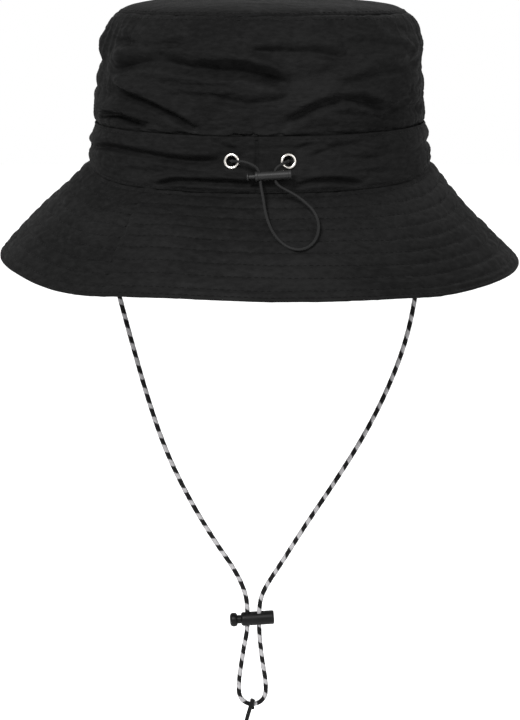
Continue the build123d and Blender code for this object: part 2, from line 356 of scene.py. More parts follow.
def nurbs_line(route, step):
    """Points step mm apart on the NURBS curve of a route, which is in mm too."""
    data = bpy.data.curves.new("route", "CURVE")
    data.dimensions = "3D"
    spline = data.splines.new("NURBS")
    spline.points.add(len(route) - 1)
    for point, place in zip(spline.points, np.array(route) * MM):
        point.co = (*place, 1)
    spline.order_u = 3
    spline.use_endpoint_u = True
    spline.resolution_u = 24
    holder = bpy.data.objects.new("route", data)
    mesh = bpy.data.meshes.new_from_object(holder)
    line = np.array([v.co for v in mesh.vertices], float) / MM
    bpy.data.objects.remove(holder)
    bpy.data.meshes.remove(mesh)
    bpy.data.curves.remove(data)
    return spaced(line, int(distances(line)[-1] / step) + 2)


def stitches(name, seams):
    """Thread along seams, each a line of points and their normals: one bead for each stitch."""
    centres, alongs, ups = [], [], []
    for line, normal in seams:
        count = max(2, int(distances(line)[-1] / STITCH_PITCH))
        ends, lean_to = spaced(line, count + 1), spaced(line, count + 1, normal)
        centres.append((ends[:-1] + ends[1:]) / 2)
        alongs.append(unit(ends[1:] - ends[:-1]))
        ups.append(unit(lean_to[:-1] + lean_to[1:]))
    centre, along, up = np.vstack(centres), np.vstack(alongs), np.vstack(ups)
    side = unit(np.cross(along, up))
    # Rings of a bead: place along it, size, and height above the cloth.
    stations = [
        (-0.5, 0.45, -0.9), (-0.34, 0.95, 0.1), (0.0, 1.1, 0.35), (0.34, 0.95, 0.1), (0.5, 0.45, -0.9),
    ]
    sides = 6
    rings = []
    for at, size, rise in stations:
        middle = centre + along * STITCH_LENGTH * at + up * THREAD_RADIUS * rise
        for angle in turn(sides):
            around = side * math.cos(angle) + up * math.sin(angle)
            rings.append(middle + around * THREAD_RADIUS * size)
    points = stack(rings, 1)
    per = points.shape[1]
    pattern = tube_faces(len(stations), sides)
    faces = [[i * per + k for k in face] for i in range(len(points)) for face in pattern]
    return new_mesh(name, points.reshape(-1, 3), faces)


# ---- folds in the cloth
# Folds at the back, as valleys: depth and width in mm, then points across and up.
CROWN_FOLDS = [
    (4.3, 2.4, [(-69, 50), (-58, 54), (-46, 56), (-33, 54), (-19, 52.5), (-3, 51), (12, 46)]),
    (2.0, 1.8, [(-24, 54), (-12, 54), (0, 52), (10, 48)]),
    (3.2, 2.1, [(-66, 41), (-50, 36), (-38, 31), (-29, 26)]),
    (3.2, 2.0, [(-78, 27), (-66, 28.5), (-52, 25)]),
    (2.7, 2.3, [(12, 29), (28, 36), (42, 38), (56, 34)]),
    (2.4, 2.0, [(-4, 59), (10, 60), (25, 59.5), (38, 57)]),
    (2.2, 2.8, [(34, 43), (52, 49), (76, 54)]),
    (2.4, 2.4, [(-69, 64), (-52, 61), (-36, 63)]),
    (1.4, 2.2, [(40, 64), (56, 62), (70, 58)]),
    (1.0, 2.4, [(-20, 40), (-4, 38), (12, 40)]),
    (0.7, 2.4, [(56, 30), (66, 33), (76, 31)]),
]
BAND_FOLDS = [
    (2.6, 1.7, [(-84, 10), (-72, 13), (-59, 12.5), (-33, 10.5), (-18, 11)]),
    (2.4, 1.3, [(-46, -1.2), (-36, 1.4), (-22, 1.4), (-2, 0.8)]),
    (1.9, 1.3, [(16, 0.4), (30, 1.8), (45, -0.6)]),
    (0.9, 1.5, [(-22, 19), (-16, 17.5), (-11, 15.5)]),
    (0.8, 1.5, [(16, 15.5), (22, 17.5), (30, 18.5)]),
    (0.9, 1.8, [(24, 13), (34, 16), (48, 18)]),
    (0.8, 2.0, [(44, 9), (60, 12), (78, 11)]),
    (0.6, 1.6, [(-62, 4), (-48, 5), (-30, 5)]),
]


def crease(distance, reach):
    """A valley at no distance; the cloth above it bulges over it, and below it less."""
    t = distance / reach
    bulge = 0.75 * bell(t - 2.0, 1.5) + 0.22 * bell(t + 2.0, 1.6)
    return bulge - exp(-(t**2) * 1.3)


def drawn_folds(theta, z, width, folds):
    total = 0 * z
    x = width * cos(theta)
    for depth, reach, points in folds:
        xs, zs = smooth_curve(points, 40).T
        end = 0.22 * (xs[-1] - xs[0])
        fade = ramp(x - xs[0] + end / 2, end) * ramp(xs[-1] + end / 2 - x, end)
        total = total + depth * fade * (sin(theta) < 0) * crease(z - np.interp(x, xs, zs), reach)
    return total


def chance_folds(theta, z, low, high, count, depth, reach, seed, span):
    """Folds of the same kind at random places: over the front for span pi, or all round."""
    rng = np.random.default_rng(seed)
    total = 0 * z
    for _ in range(count):
        middle, half = rng.uniform(0, span), rng.uniform(0.16, 0.5)
        height, slope, bow = rng.uniform(low, high), rng.uniform(-9, 9), rng.uniform(-5, 5)
        size, wide = rng.uniform(0.5, 1.0), rng.uniform(0.7, 1.3)
        t = ((theta - middle + PI) % TAU - PI) / half
        line = height + slope * t * half + bow * t**2 * half
        fade = smooth(clip(1.25 - np.abs(t), 0, 1))
        total = total + depth * size * fade * crease(z - line, reach * wide)
    return total


def groove(distance, depth, reach):
    return -depth * bell(distance, reach)


# ---- crown
crown_line = smooth_curve(CROWN_PROFILE, 500)
turn_row = int(np.argmin(np.abs(crown_line[:, 1] - TOP_SEAM)))
wall_line = crown_line[:turn_row + 1]
top_line = crown_line[turn_row:][::-1]
top_reach = distances(top_line)
TOP_SPAN = top_reach[-1]


def oval_point(width, z, theta):
    stretch = OVAL_STRETCH * clip(width / OVAL_FROM, 0, 1)
    return stack([width * cos(theta), (width + stretch) * sin(theta), z + 0 * theta], -1)


def lean(theta, z):
    """How far the crown's two sides stand in from a symmetrical one; the left slopes more."""
    left, right = ramp(-cos(theta) - 0.2, 0.8), ramp(cos(theta) - 0.2, 0.8)
    inward = left * (1.0 * ramp(z - 36, 8) + 2.2 * ramp(z - 56, 20))
    return inward - right * (0.9 * ramp(z - 34, 8) - 1.5 * ramp(z - 70, 8))


def wall_base(theta, down):
    z = TOP_SEAM - down
    width = np.interp(z, wall_line[:, 1], wall_line[:, 0]) - lean(theta, z)
    return oval_point(width, z, theta)


def top_base(theta, out):
    z = np.interp(out, top_reach, top_line[:, 1])
    width = np.interp(out, top_reach, top_line[:, 0])
    return oval_point(width - lean(theta, z) * width / OVAL_FROM, z, theta)


def top_seam_lift(theta, distance):
    """The seam between wall and top: a wave, puckers and the groove of the stitches."""
    u = theta / TAU * AROUND_CROWN
    pucker = noise(u, 0 * u, 5.2, 6, 9)
    wave = 0.8 * noise(u, 0 * u, 60, 6, 5)
    return wave + 0.4 * pucker * exp(-distance / 3.5) + groove(distance, 0.4, 0.8)


def wall_lift(theta, down):
    """The wall before it settles: folds, gathers at the band's seam, grooves of the seams."""
    z = TOP_SEAM - down
    u = theta / TAU * AROUND_CROWN
    free = 0.9 * noise(u, z, 55, 26, 3)
    free = free + drawn_folds(theta, z, CROWN_WIDTH, CROWN_FOLDS)
    free = free + chance_folds(theta, z, 26, 68, 15, 2.1, 3.4, 11, PI)
    free = free + chance_folds(theta, z, 26, 72, 26, 0.8, 2.0, 12, TAU)
    above = z - BAND_TOP
    gather = noise(u, 0.3 * z, 4.6, 6, 7)
    tight = 0.45 + 1.1 * (sin(theta) < 0) * bell(80 * cos(theta) + 13, 26)
    free = free * (0.25 + 0.75 * ramp(above, 6))
    free = free + tight * gather * exp(-clip(above, 0, 99) / 5) * ramp(above, 1.0)
    free = free + 0.9 * ramp(above, 1.8) * exp(-clip(above, 0, 99) / 11)
    lift = free * ramp(down, 12) + top_seam_lift(theta, down)
    side = np.abs(sin(theta)) * 96
    pucker = noise(z * 11, 0 * u, 50, 6, 8, around=AROUND_CROWN * 11)
    return lift + groove(side, 0.7, 1.2) + 0.3 * pucker * exp(-side / 4) - 0.3 * (above < 0)


# The simulated wall: its height, grid, frames, spare height as a share, and the furthest move.
WALL_DROP = 55.0
SIM_COLUMNS, SIM_ROWS, SIM_FRAMES, SLACK, MOST_SHIFT = 400, 60, 18, 0.045, 5.0
DRAWN_SHARE, SETTLED_SHARE = 0.5, 0.6
SIM_SETTINGS = {
    "quality": 6, "mass": 0.15, "tension_stiffness": 40, "compression_stiffness": 40,
    "shear_stiffness": 8, "bending_stiffness": 1.5, "tension_damping": 8,
    "compression_damping": 8, "use_pressure": True, "uniform_pressure_force": 0.25,
}


def settled_wall():
    """How the crown wall's cloth moves when it is a little too tall for its two seams.

    The drawn folds are where it starts; Blender's cloth lets them buckle and join. The
    simulation runs on a mesh ten times the size, where its lengths suit the solver better.
    The result is a mix of the drawn and the settled cloth.
    """
    enlarged = 10 * MM
    theta, down = meshgrid(turn(SIM_COLUMNS), linspace(0, WALL_DROP, SIM_ROWS))
    base = wall_base(theta, down)
    start, _ = on_surface(wall_base, wall_lift, theta, down)
    mesh = bpy.data.meshes.new("slack")
    faces = grid_faces(SIM_ROWS, SIM_COLUMNS, True)
    mesh.from_pydata((start.reshape(-1, 3) * enlarged).tolist(), [], faces)
    cloth = show("slack", mesh)
    order = np.arange(SIM_ROWS * SIM_COLUMNS).reshape(SIM_ROWS, SIM_COLUMNS)
    pins = cloth.vertex_groups.new(name="pins")
    for row, hold in ((0, 1.0), (1, 0.6), (-2, 1.0), (-1, 1.0)):
        pins.add(order[row].tolist(), hold, "REPLACE")
    cloth.shape_key_add(name="Basis")
    tall = start.copy()
    tall[..., 2] = TOP_SEAM + (base[..., 2] - TOP_SEAM) * (1 + SLACK)
    rest = cloth.shape_key_add(name="rest")
    rest.data.foreach_set("co", (tall * enlarged).astype(np.float32).ravel())
    rest.value = 0
    modifier = cloth.modifiers.new("cloth", "CLOTH")
    modifier.settings.vertex_group_mass = "pins"
    modifier.settings.rest_shape_key = rest
    for key, value in SIM_SETTINGS.items():
        setattr(modifier.settings, key, value)
    modifier.settings.effector_weights.gravity = 0.06
    modifier.collision_settings.use_collision = False
    for moment in range(1, SIM_FRAMES + 1):
        scene.frame_set(moment)
    shown = cloth.evaluated_get(bpy.context.evaluated_depsgraph_get())
    settled = np.array([v.co for v in shown.to_mesh().vertices], float).reshape(base.shape) / enlarged
    shown.to_mesh_clear()
    bpy.data.objects.remove(cloth)
    scene.frame_set(1)
    drawn, moved = start - base, settled - base
    outward = unit(base * (1, 1, 0))
    sag = ((moved - drawn) * outward).sum(2, keepdims=True).mean(1, keepdims=True)
    moved = moved - sag * outward
    size = np.linalg.norm(moved, axis=2, keepdims=True)
    capped = moved * np.minimum(1, MOST_SHIFT / np.maximum(size, 1e-9))
    mixed = DRAWN_SHARE * drawn + SETTLED_SHARE * capped
    mixed[0] = drawn[0]
    return mixed


wall_shift = settled_wall()


def wall_cloth(theta, down):
    """The crown wall's cloth after it has settled."""
    column = (theta / TAU % 1.0) * SIM_COLUMNS
    row = clip(down / WALL_DROP, 0, 1) * (SIM_ROWS - 1)
    i, j = np.minimum(row.astype(int), SIM_ROWS - 2), column.astype(int)
    a, b = (row - i)[..., None], (column - j)[..., None]
    left, right = j % SIM_COLUMNS, (j + 1) % SIM_COLUMNS
    above = wall_shift[i, left] * (1 - b) + wall_shift[i, right] * b
    below = wall_shift[i + 1, left] * (1 - b) + wall_shift[i + 1, right] * b
    return wall_base(theta, down) + above * (1 - a) + below * a


def wall_crinkle(theta, down):
    """Creases too small for the simulation, and the gathers above the band's seam."""
    u = theta / TAU * AROUND_CROWN
    above = clip(TOP_SEAM - down - BAND_TOP, 0, 99)
    sharp = 0.32 * crinkle(u, down, 13, 3.6, 21) + 0.2 * crinkle(u, down, 6, 1.9, 22)
    across = 0.26 * crinkle(down * 11, u, 90, 9, 23, around=AROUND_CROWN * 11)
    rumple = 0.38 * noise(u, down + 0.12 * u, 13, 5, 25) * ramp(down, 6) * ramp(above, 6)
    x = CROWN_WIDTH * cos(theta)
    rear = (sin(theta) < 0) * bell(x + 14, 24)
    tuck = np.abs(noise(u + 0.35 * above, 0.2 * above, 6.5, 8, 24, 1))
    tucks = 2.3 * (1 - np.minimum(1, 2.0 * tuck)) * exp(-above / 4.5) * ramp(above, 0.8)
    return 0.1 + rumple - sharp - across - (0.25 + 0.95 * rear) * tucks


def crown_wall(name, start):
    theta = linspace(start, start + PI, 380)
    down = linspace(0, WALL_DROP, 110)
    return sheet_on(name, wall_cloth, wall_crinkle, theta, down, CLOTH, False)


def top_lift(theta, out, creases=1.0):
    distance = TOP_SPAN - out
    base = top_base(theta, out)
    x, y = base[..., 0] + 200, base[..., 1]
    free = 0.9 * noise(x, y, 38, 30, 31, around=400)
    sharp = crinkle(x, y, 17, 4, 33, around=400) * 0.26 + crinkle(x, y, 8, 2.2, 34, around=400) * 0.14
    seam = top_seam_lift(theta, distance) * (1 - ramp(distance, 22))
    return seam + ramp(distance, 20) * free - creases * sharp + 0.1


def crown_top():
    return disc_on("crown_top", top_lift, 420, 84, CLOTH)


# ---- band
def seam_height(theta):
    """The seam between band and brim, low at back and front and high at the sides."""
    return 3.0 - 6.5 * (1 - exp(-((2.6 * sin(theta)) ** 2)))


def band_base(theta, k):
    """k runs from 0 at the top of the band to 1 at the seam with the brim."""
    z = BAND_TOP + (seam_height(theta) - BAND_TOP) * k
    return oval_point(BAND_WIDTH + BAND_FLARE * k, z, theta)


def band_lift(theta, k):
    """Folds and gathers between two tight seams, a seam at the back, flat round the eyelets."""
    z = BAND_TOP + (seam_height(theta) - BAND_TOP) * k
    x = (BAND_WIDTH + BAND_FLARE * k) * cos(theta)
    u = theta / TAU * AROUND_CROWN
    from_top, from_low = clip(BAND_TOP - z, 0, 99), clip(z - seam_height(theta), 0, 99)
    puff = (1 - 0.6 * exp(-from_top / 0.8)) * (1 - exp(-from_low / 0.8))
    lift = 1.1 + 0.5 * noise(u, z, 34, 14, 41)
    lift = lift + drawn_folds(theta, z, 83.5, BAND_FOLDS)
    lift = lift + chance_folds(theta, z, 2, 19, 12, 1.4, 1.8, 43, PI)
    lift = lift + chance_folds(theta, z, 0, 20, 24, 0.5, 1.2, 44, TAU)
    gather = noise(u, 0.3 * z, 4.2, 5, 47)
    rear = 0.5 - 0.5 * sin(theta)
    lift = lift + (0.2 + 0.3 * rear) * gather * (exp(-from_top / 1.8) + exp(-from_low / 1.5))
    lift = lift * puff + groove(from_top - 1.6, 0.35, 0.5) + groove(from_low - 1.4, 0.3, 0.5)
    back = sin(theta) < 0
    step = 0.3 * ramp(x - BACK_SEAM_X, 1) * ramp(9 - x, 9)
    lift = lift + back * (groove(x - BACK_SEAM_X, 0.9, 0.75) + step)
    for side in (-1, 1):
        away = np.hypot(x - side * EYELET_X, z - EYELET_Z)
        flat = back * smooth(clip(1 - (away - 3.4) / 4.0, 0, 1))
        lift = lift * (1 - flat) + flat * 0.5 - back * 2.4 * ramp(2.35 - away, 0.7)
    sharp = 0.22 * crinkle(u, z, 15, 3.0, 48) + 0.14 * crinkle(u, z, 8, 1.7, 49)
    across = 0.25 * crinkle(z * 11, u + 0.6 * z, 70, 11, 50, around=AROUND_CROWN * 11)
    return lift + 0.06 - sharp - across


def band():
    rows = linspace(0, 1, 56)
    return sheet_on("band", band_base, band_lift, turn(800), rows, CLOTH, True, BAND_HEIGHT)


# ---- brim
def around_angle(theta, degrees, width):
    """1 at an angle round the hat, falling off over width degrees each side."""
    away = (theta - math.radians(degrees) + PI) % TAU - PI
    return bell(away, math.radians(width))


brim_noise = partial(noise, around=AROUND_BRIM)
brim_crinkle = partial(crinkle, around=AROUND_BRIM)


def brim_base(theta, slant):
    s, c, k = sin(theta), cos(theta), (slant / BRIM_SLANT)[..., None]
    edge = EDGE_Z - 2.0 * c + 1.2 * s**2 + 0.5 * sin(3 * theta + 0.6) + 0.35 * sin(5 * theta)
    edge = edge - 4.6 * around_angle(theta, 229, 19) - 1.6 * around_angle(theta, 311, 15)
    inner = stack([SEAM_WIDTH * c, SEAM_LENGTH * s, seam_height(theta)], -1)
    outer = stack([EDGE_WIDTH * c, EDGE_LENGTH * s, edge], -1)
    return inner * (1 - k) + outer * k


def brim_shape(theta, slant):
    """The brim's bow and waves, and the crease down its left side."""
    k = clip(slant / BRIM_SLANT, 0, 1)
    u = theta / TAU * AROUND_BRIM
    bow = 1.2 - 2.7 * ramp(cos(theta) - 0.25, 0.6) + 2.6 * around_angle(theta, 246, 10)
    lift = bow * sin(PI * k) + 1.0 * k * brim_noise(u, slant, 85, 60, 61)
    lift = lift + 0.7 * brim_noise(u, slant, 40, 26, 62) * clip(4 * k, 0, 1)
    away = (theta - math.radians(231) - math.radians(6.5) * k) * (SEAM_LENGTH + 30 * k)
    away = away + 2.0 * noise(slant, 0 * u, 14, 6, 63, around=640)
    fold = 1.3 * bell(away - 5, 5) - 2.0 * bell(away, 2.4)
    small = 0.5 * bell(away - 9, 2.0) * noise(slant, 0 * u, 20, 6, 68, around=640)
    return lift + (fold + small) * sin(PI * k) ** 0.6


def quilt_lines(start, end):
    """Distances down the brim, close together at each row of stitches and wider between."""
    offsets = (-2.6, -1.6, -0.8, -0.35, 0, 0.35, 0.8, 1.6, 2.6, 3.55)
    places = np.sort(np.r_[[row + offset for row in STITCH_ROWS for offset in offsets]])
    places = places[(places > start + 0.3) & (places < end - 0.3)]
    kept = places[np.r_[True, np.diff(places) > 0.25]]
    return np.r_[start, kept, end]


def quilting(theta, slant):
    """What the rows of stitches do to one face of the brim, outwards from the core."""
    u = theta / TAU * AROUND_BRIM
    near = np.min([np.abs(slant - row) for row in STITCH_ROWS], axis=0)
    puff = 0.34 * ramp(near, 2.6) - 0.36 * bell(near, 0.7)
    pucker = 0.5 * brim_noise(u, slant, 5.0, ROW_GAP, 64) * exp(-near / 2.6)
    swell = 0.35 * brim_noise(u, slant, 15, 11, 69)
    across = 0.34 * crinkle(slant * 7.3, u * 0.9 + 0.5 * slant, 60, 7, 65, around=AROUND_BRIM * 7.3)
    sharp = 0.16 * brim_crinkle(u, slant, 8, 3.4, 66)
    sharp = sharp + 0.12 * brim_crinkle(u, slant, 4, 2.0, 67)
    uneven = (pucker + swell - sharp - across) * (0.25 + 0.75 * ramp(BRIM_SLANT - slant, 4))
    return np.maximum(puff + uneven, -0.5)


def brim_top_lift(theta, slant):
    return brim_shape(theta, slant) + quilting(theta, slant)


def brim_core_lift(theta, slant):
    return brim_shape(theta, slant) - 1.0


def brim_under_lift(theta, slant):
    return brim_shape(theta, slant) - 1.95 - quilting(theta + 0.4, slant)


def brim_upper():
    """The upper cloth, which turns round the brim's edge and ends under it."""
    roll = 0.95
    theta, slant = meshgrid(turn(460), quilt_lines(-0.9, BRIM_SLANT - roll))
    top, normal = on_surface(brim_base, brim_top_lift, theta, slant)
    outward = unit(top[-1] - top[-4])
    rows = [top]
    for angle in np.radians([30, 60, 90, 120, 150, 180]):
        turned = top[-1] + outward * roll * math.sin(angle) - normal[-1] * roll * (1 - math.cos(angle))
        rows.append(turned[None])
    for back in (1.2, 2.6):
        rows.append((top[-1] - outward * back - normal[-1] * 2 * roll)[None])
    grid = np.concatenate(rows)
    down = np.r_[slant[:, 0], BRIM_SLANT + np.arange(len(grid) - len(slant)) * 0.6]
    t, d = meshgrid(theta[0], down)
    return cloth_sheet("brim_upper", grid, True, 0.4, weave_of(t, d, BRIM_RADIUS))


def brim_core():
    rows = linspace(4, BRIM_SLANT - 2.0, 40)
    return sheet_on("brim_core", brim_base, brim_core_lift, turn(300), rows, 0.2, True)


def brim_under():
    t, d = meshgrid(turn(420), quilt_lines(-3.4, BRIM_SLANT - 3.0))
    grid, _ = on_surface(brim_base, brim_under_lift, t, d)
    inwards = -grid_normals(grid, True)
    return cloth_sheet("brim_under", grid, True, -0.35, weave_of(t, d, BRIM_RADIUS), inwards)


# ---- inside the hat
def lining_wall_lift(theta, down):
    return wall_crinkle(theta, down) - 1.1


def lining_top_lift(theta, out):
    return top_lift(theta, out, 0.0) - 1.2


def lining():
    rows = linspace(0, 54, 70)
    return (
        sheet_on(
            "crown_lining_side", wall_cloth, lining_wall_lift, turn(560), rows, LINING_CLOTH, True
        ),
        disc_on("crown_lining_roof", lining_top_lift, 300, 50, LINING_CLOTH),
    )


def backing_lift(theta, k):
    return 0.1 * noise(theta / TAU * AROUND_CROWN, 25 * k, 26, 12, 73) - 2.45


def patch_lift(theta, k):
    return band_lift(theta, k) - 0.6


def hidden_band_layers():
    """Inside the band: the drawcord channel's inner cloth, and a patch behind the eyelets."""
    reach = PATCH_HALF / 82.0
    behind = linspace(1.5 * PI - reach, 1.5 * PI + reach, 90)
    backing_rows, patch_rows = linspace(0.12, 0.9, 24), linspace(0.2, 0.68, 30)
    return (
        sheet_on(
            "channel_backing", band_base, backing_lift, turn(420), backing_rows,
            LINING_CLOTH, True, BAND_HEIGHT,
        ),
        sheet_on(
            "eyelet_backing", band_base, patch_lift, behind, patch_rows, 0.3, False, BAND_HEIGHT
        ),
    )


def channel_cord():
    """The drawcord inside its channel, from the right eyelet round the front to the left."""
    width = 80.4
    start = math.acos(EYELET_X / width)
    angle = linspace(-start, PI + start, 1600)
    return drawcord("drawcord_in_channel", oval_point(width, EYELET_Z, angle), 12)


def sweat_base(theta, k):
    z = SWEAT_TOP + (seam_height(theta) + 0.6 - SWEAT_TOP) * k
    return oval_point(77.4 + 3.3 * clip(k, 0.18, 1) - 0.9 * (1 - ramp(k, 0.3)), z, theta)


def sweat_lift(theta, k):
    z = SWEAT_TOP + (seam_height(theta) - SWEAT_TOP) * k
    u = theta / TAU * AROUND_CROWN
    lift = 0.35 * noise(u, z, 40, 20, 71) + 0.12 * noise(u, z, 7, 9, 72)
    binding = 0.28 * ramp(2.6 - (SWEAT_TOP - z), 0.25)
    return lift - binding * 0.5 - 0.25


def sweatband():
    """The band inside, and the tape that binds its upper edge."""
    rows = linspace(0, 1, 44)
    body = sheet_on(
        "sweatband_cloth", sweat_base, sweat_lift, turn(560), rows, 0.55, True, SWEAT_HEIGHT
    )
    t, d = meshgrid(turn(560), linspace(-0.2, 2.8, 14))
    wrap = 0.5 * np.sqrt(clip(1 - ((d - 1.3) / 1.5) ** 2, 0, 1))
    outer, normal = on_surface(
        sweat_base, lambda a, b: sweat_lift(a, b) + wrap - 0.1, t, d / SWEAT_HEIGHT
    )
    thickness = 0.35 + 2 * wrap[..., None]
    return body, cloth_sheet("sweatband_binding", outer, True, thickness, weave_of(t, d), normal)


def care_label():
    """A blank satin label sewn to the sweatband, its lower edge curling inwards."""
    xs, drops = meshgrid(linspace(-44, -24, 60), linspace(0, 15, 46))
    z = 20.0 - drops
    theta = -np.arccos(xs / 79.3)
    k = (SWEAT_TOP - z) / (SWEAT_TOP - seam_height(theta))
    curl = 1.3 * (drops / 15) ** 3 + 0.2 * sin(xs * 0.5) * (drops / 15) ** 2
    outer, normal = on_surface(sweat_base, lambda a, b: sweat_lift(a, b) - 0.75 - curl, theta, k)
    weave = weave_of(theta, drops, 79)
    return cloth_sheet("care_label_blank", outer, False, 0.18, weave, normal)


def chin_tab(name, side):
    """A folded loop of tape, flat where it is sewn in and round where it holds the cord."""
    rows, columns = 46, 48
    sewn_in, end = 2.8, -9.6
    z, angle = meshgrid(linspace(sewn_in, end, rows), turn(columns), indexing="ij")
    corner = clip((z - end) / 1.6, 0, 1)
    half = 4.45 * (0.86 + 0.14 * np.sqrt(corner * (2 - corner)))
    y = half * np.sign(cos(angle)) * np.abs(cos(angle)) ** 0.55
    hold = ramp(-3.0 - z, 4.0)
    bulge = 0.5 + 0.95 * hold * bell(y, 1.7)
    rib = 0.03 * sin(z * TAU / 0.55)
    x = side * 80.8 + (bulge + rib) * np.sign(sin(angle)) * np.abs(sin(angle)) ** 0.4
    points = stack([x, y, z], -1).reshape(-1, 3)
    return new_mesh(name, points, tube_faces(rows, columns), points)


# ---- eyelets
# Half section of a rolled eyelet: distance from its axis, height above the cloth.
EYELET_SECTION = [
    (2.28, -1.5), (2.26, -0.4), (2.3, 0.2), (2.48, 0.52), (2.84, 0.7), (3.24, 0.62), (3.52, 0.34),
    (3.63, 0.0), (3.5, -0.16), (3.2, -0.1), (2.7, -0.1), (2.5, -0.5), (2.48, -1.5), (2.38, -1.56),
]


def eyelet(name, side):
    """The section turned about the cloth's normal, at one side of the back seam."""
    columns = 72
    theta = np.array([-math.acos(side * EYELET_X / 82.1)])
    k = np.array([(BAND_TOP - EYELET_Z) / BAND_HEIGHT])
    place, normal = on_surface(band_base, lambda a, b: 0 * a + 0.55, theta, k)
    axis = normal[0]
    right = unit(np.cross(axis, (0, 0, 1.0)))
    up = np.cross(right, axis)
    section = smooth_curve(EYELET_SECTION + EYELET_SECTION[:1], 57)[:-1]
    angle = turn(columns)[:, None]
    r, h = section[:, 0][:, None, None], section[:, 1][:, None, None]
    rim = right * cos(angle) + up * sin(angle)
    points = place[0] + rim * r + axis * h
    count = len(section) * columns
    faces = np.array(grid_faces(len(section) + 1, columns, True)) % count
    return new_mesh(name, points.reshape(-1, 3), faces.tolist())


# ---- cords
# Routes of the drawcord and the pull, and those of the chin cord, which lies in the plane y = 0.
DRAWCORD_LEFT_ROUTE = [
    (-12.4, -95, 11), (-12.6, -97.2, 11), (-12.4, -99.6, 11.1), (-10.6, -101.8, 11.4),
    (-6.8, -103.2, 11.4), (-3.2, -104, 10), (-0.6, -104, 8), (0, -104, 4.9),
]
DRAWCORD_RIGHT_ROUTE = [
    (12.4, -95, 11), (12.6, -97.2, 11), (12.6, -99.6, 11.1), (11.2, -101.8, 11), (8.8, -103.7, 9.8),
    (6.6, -104, 8.2), (6.5, -104, 5.3),
]
DRAWCORD_LOOP_ROUTE = [
    (0, -104, 4.9), (0.2, -104.6, 1.4), (1.3, -107.4, -3.6), (2.1, -111.4, -8.6),
    (3.3, -115.4, -13.2), (5.6, -120.6, -18), (9.6, -125.6, -22.3), (15.4, -128.3, -24.7),
    (21.2, -126.6, -23.8), (25, -121.6, -20.2), (26.1, -115.2, -15.1), (24.3, -111.2, -10.2),
    (20.6, -108.8, -6.6), (16.4, -107, -3.4), (12, -105.4, -1.2), (8.4, -104.5, 0.6),
    (6.65, -104, 2.9), (6.5, -104, 5.3),
]
PULL_TAIL_ROUTE = [
    (-3.4, -1.8, -283.2), (-4.4, -2.6, -285.2), (-5.4, -2.4, -288.5), (-6.4, -0.8, -292.5),
    (-7.5, 0, -297.2), (-8.8, 0, -302.8),
]
CHIN_LEFT_ROUTE = [
    (-80.8, -9), (-80.8, -20), (-77, -43), (-70.8, -69), (-64.5, -94), (-57.6, -120), (-49.4, -146),
    (-38.2, -171), (-24.6, -195), (-13.2, -212), (-8.2, -223), (-6.6, -231), (-6.6, -238.7),
]
CHIN_RIGHT_ROUTE = [
    (80.8, -9), (80.8, -20), (80.6, -44), (78.9, -68), (74, -92), (65.2, -116), (53.6, -140),
    (38.8, -164.5), (23.8, -187.5), (10.8, -209), (3, -221), (-0.5, -230), (-0.5, -238.7),
]
CHIN_LOOP_ROUTE = [
    (-6.6, -238.7), (-6.6, -245), (-8.4, -254), (-10, -264.5), (-11.2, -273.5), (-11.3, -281.6),
    (-8.5, -285.6), (-4.1, -287.1), (0.3, -285.6), (3.1, -281.6), (3, -273.5), (1.5, -264.5),
    (0.2, -254), (-0.5, -245), (-0.5, -238.7),
]


def braid_relief(height, strands, lay):
    """Diamond bumps of a round braid: strands each way, one turn in lay mm."""
    def relief(s, phi):
        a = strands / 2 * phi + s * TAU * strands / 2 / lay
        b = strands / 2 * phi - s * TAU * strands / 2 / lay
        return height * (np.abs(cos(a)) * np.abs(cos(b)) * 2 - 1)
    return relief


def block_colour(s, phi):
    """1 on the white blocks: 3.5 mm in each 8 mm, their edges climbing round the cord."""
    strand = np.floor(phi / TAU * 12) / 12
    wobble = 0.35 * sin(s * 0.9 + 1.3) + 0.25 * sin(s * 0.37)
    share = ((s + wobble + strand * 4.2) / 8.0) % 1.0
    return 1.0 * (share > 0.57)


def chin_line(name, route):
    """A stretch of the braided cord, and the line down its middle."""
    line = nurbs_line([(x, 0, z) for x, z in route], 0.35)
    return tube(name, line, CHIN_CORD_RADIUS, 24, braid_relief(0.09, 12, 9.0), block_colour), line


def drawcord(name, line, sides=16):
    return tube(name, line, DRAWCORD_RADIUS, sides, braid_relief(0.05, 8, 3.4))


def chin_pull():
    """A black cord knotted round the bottom of the loop: a hitch and a hanging tail."""
    relief = braid_relief(0.05, 8, 4.0)
    tail = tube("pull_tail", nurbs_line(PULL_TAIL_ROUTE, 0.2), 1.08, 16, relief)
    count = 120
    angle = linspace(-0.85 * PI, 1.35 * PI, count)
    across = -5.2 + 1.5 * linspace(0, 1, count)
    wrap = stack([across, 2.1 * cos(angle), -286.7 + 2.2 * sin(angle)], 1)
    return join("chin_pull_cord", [tail, tube("pull_hitch", wrap, 0.8, 16, relief)])


def join(name, pieces):
    """Several meshes as one piece."""
    form = bmesh.new()
    for piece in pieces:
        data = piece.data
        form.from_mesh(data)
        bpy.data.objects.remove(piece)
        bpy.data.meshes.remove(data)
    return show(name, mesh_of(name, form))


# ---- toggle springs
# Toggle's middle and tilt, then its spring: start and length along the barrel, coil radius,
# wire radius, turns.
SPRINGS = {
    "chin_toggle": ((-1.3, 0.0, -238.7), 4.0, 4.2, 2.95, 2.15, 0.25, 3.5),
    "rear_toggle": ((5.85, -104.0, 5.3), 3.5, 2.51, 3.89, 1.05, 0.15, 5.0),
}


